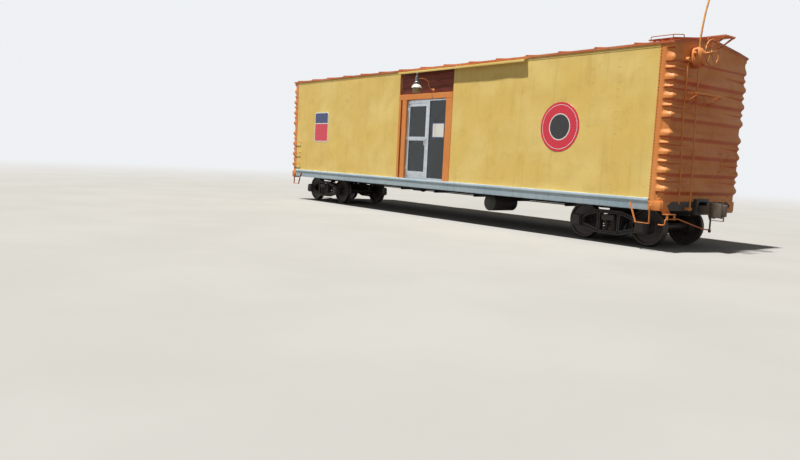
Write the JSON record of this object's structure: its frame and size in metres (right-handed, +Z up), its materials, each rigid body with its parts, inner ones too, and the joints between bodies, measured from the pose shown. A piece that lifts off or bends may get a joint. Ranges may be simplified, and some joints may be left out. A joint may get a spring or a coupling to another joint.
{
  "type": "steel boxcar with walk-in door",
  "caption": "Long closed rail freight car with corrugated ends on four-wheel trucks; a glazed walk-in door in one side, a sliding door in the other.",
  "frame": {"origin": "on the centreline at mid-length, at the height of the wheel flanges' lowest point", "axes": "+X along the car towards the hand brake end, +Z up, -Y the side with the walk-in door"},
  "size_m": [16.83, 3.841, 5.293],
  "materials": {
    "side_yellow": "weathered satin",
    "end_orange": "weathered satin",
    "roof_orange": "matt, weathered",
    "sill_blue": "chalky satin",
    "board_red": "stained",
    "storefront_metal": "satin anodised",
    "pane": "dark clear",
    "lamp_enamel": "enamel",
    "pole_yellow": "faded",
    "underframe_black": "dusty black",
    "floor_wood": "worn boards",
    "coupler_iron": "rusted",
    "truck_iron": "dusty black",
    "spring_steel": "dusty black",
    "wheel_steel": "rusted, treads dull"
  },
  "bodies": {
    "car_body": {"side_near_left": "side_yellow", "side_near_right": "side_yellow", "side_far_left": "side_yellow", "side_far_right": "side_yellow", "door_hood_near": "side_yellow", "freight_door_tracks": "side_yellow", "end_b": "end_orange", "end_a": "end_orange", "corner_castings": "end_orange", "brake_housing": "end_orange", "brake_wheel": "end_orange", "brake_rods": "end_orange", "handholds": "end_orange", "sill_steps": "end_orange", "uncoupling_levers": "end_orange", "door_frame_near": "end_orange", "roof": "roof_orange", "roof_seam_caps": "roof_orange", "running_board": "roof_orange", "roof_saddles": "roof_orange", "roof_grab_irons": "roof_orange", "brake_step": "roof_orange", "side_sill_near": "sill_blue", "side_sill_far": "sill_blue", "door_board_near": "board_red", "storefront_frame": "storefront_metal", "sidelite_glass": "pane", "lamp_jar": "pane", "lamp_fixture": "lamp_enamel", "whip_pole": "pole_yellow", "center_sill": "underframe_black", "body_bolsters": "underframe_black", "crossbearers": "underframe_black", "strikers": "underframe_black", "end_sills": "underframe_black", "air_brake_gear": "underframe_black", "brake_rigging": "underframe_black", "floor": "floor_wood"},
    "entry_leaf": {"entry_door": "storefront_metal", "entry_glass": "pane"},
    "freight_leaf": {"freight_door": "side_yellow"},
    "coupler_head_b": {"coupler_b": "coupler_iron"},
    "coupler_head_a": {"coupler_a": "coupler_iron"},
    "truck_b": {"side_frames_b": "truck_iron", "truck_bolster_b": "truck_iron", "springs_b": "spring_steel", "brake_beams_b": "truck_iron"},
    "truck_a": {"side_frames_a": "truck_iron", "truck_bolster_a": "truck_iron", "springs_a": "spring_steel", "brake_beams_a": "truck_iron"},
    "wheelset_b1": {"wheels_b1": "wheel_steel", "axle_b1": "wheel_steel"},
    "wheelset_b2": {"wheels_b2": "wheel_steel", "axle_b2": "wheel_steel"},
    "wheelset_a1": {"wheels_a1": "wheel_steel", "axle_a1": "wheel_steel"},
    "wheelset_a2": {"wheels_a2": "wheel_steel", "axle_a2": "wheel_steel"}
  },
  "joints": [
    {"name": "entry_hinge", "type": "hinge", "parent": "car_body", "child": "entry_leaf", "pos_m": [-0.8815, -1.451, 2.2], "axis": [0, 0, -1], "range_deg": [0, 95]},
    {"name": "freight_slide", "type": "slide", "parent": "car_body", "child": "freight_leaf", "axis": [-1, 0, 0], "range_m": [0, 2.44]},
    {"name": "coupler_b_swing", "type": "hinge", "parent": "car_body", "child": "coupler_head_b", "pos_m": [7.25, 0, 0.901], "axis": [0, 0, 1], "range_deg": [-7, 7]},
    {"name": "truck_b_swivel", "type": "hinge", "parent": "car_body", "child": "truck_b", "pos_m": [6.223, 0, 0.679], "axis": [0, 0, 1], "range_deg": [-8, 8]},
    {"name": "wheelset_b1_roll", "type": "hinge", "parent": "truck_b", "child": "wheelset_b1", "pos_m": [5.3595, 0, 0.4445], "axis": [0, 1, 0], "continuous": true},
    {"name": "wheelset_b2_roll", "type": "hinge", "parent": "truck_b", "child": "wheelset_b2", "pos_m": [7.0865, 0, 0.4445], "axis": [0, 1, 0], "continuous": true},
    {"name": "coupler_a_swing", "type": "hinge", "parent": "car_body", "child": "coupler_head_a", "pos_m": [-7.25, 0, 0.901], "axis": [0, 0, 1], "range_deg": [-7, 7]},
    {"name": "truck_a_swivel", "type": "hinge", "parent": "car_body", "child": "truck_a", "pos_m": [-6.223, 0, 0.679], "axis": [0, 0, 1], "range_deg": [-8, 8]},
    {"name": "wheelset_a1_roll", "type": "hinge", "parent": "truck_a", "child": "wheelset_a1", "pos_m": [-7.0865, 0, 0.4445], "axis": [0, 1, 0], "continuous": true},
    {"name": "wheelset_a2_roll", "type": "hinge", "parent": "truck_a", "child": "wheelset_a2", "pos_m": [-5.3595, 0, 0.4445], "axis": [0, 1, 0], "continuous": true}
  ]
}
